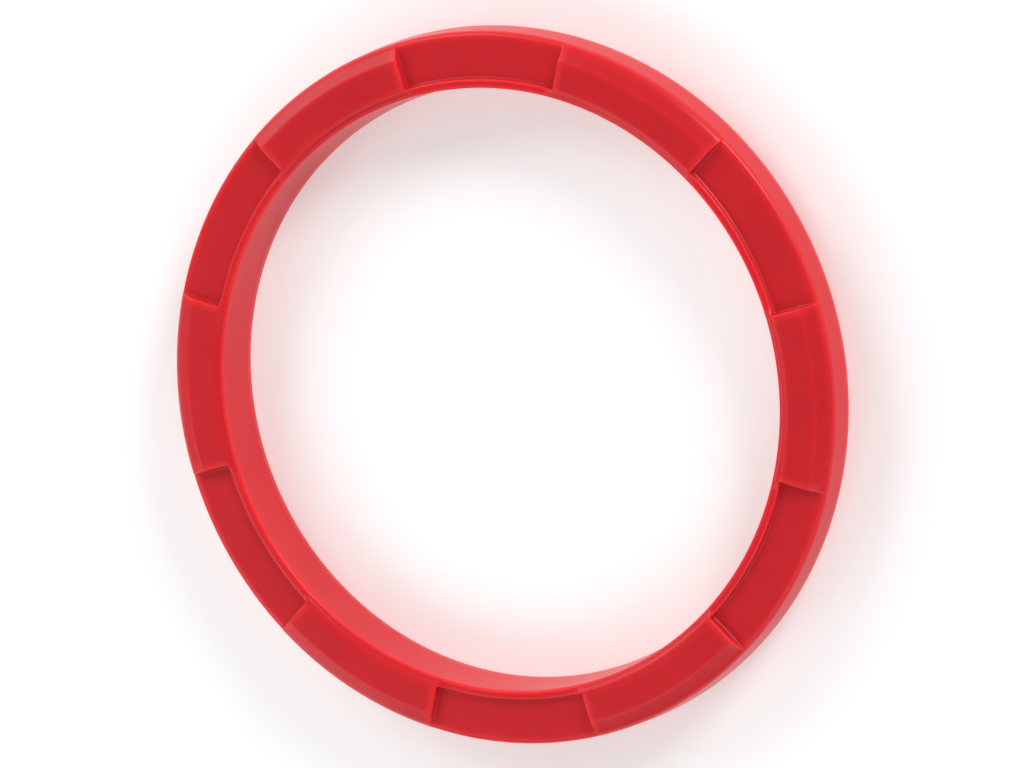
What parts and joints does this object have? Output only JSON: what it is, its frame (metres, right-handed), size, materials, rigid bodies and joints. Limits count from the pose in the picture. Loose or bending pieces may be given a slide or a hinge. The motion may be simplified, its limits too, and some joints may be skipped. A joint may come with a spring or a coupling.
{
  "type": "centring ring",
  "caption": "One-piece moulded centring ring with an open bore, a bevelled flange, shallow pockets around its front face and a short spigot behind.",
  "frame": {"origin": "centre of the footprint, on the bore axis, where the end of the spigot rests on a surface", "axes": "+Z along the bore axis towards the front face with the pockets; +X through the middle of a land, +Y through the middle of a pocket"},
  "size_m": [0.0758, 0.0758, 0.0072],
  "materials": {
    "red_plastic": "satin moulded plastic, coloured through"
  },
  "bodies": {
    "root": {"centring_ring": "red_plastic"}
  },
  "joints": []
}
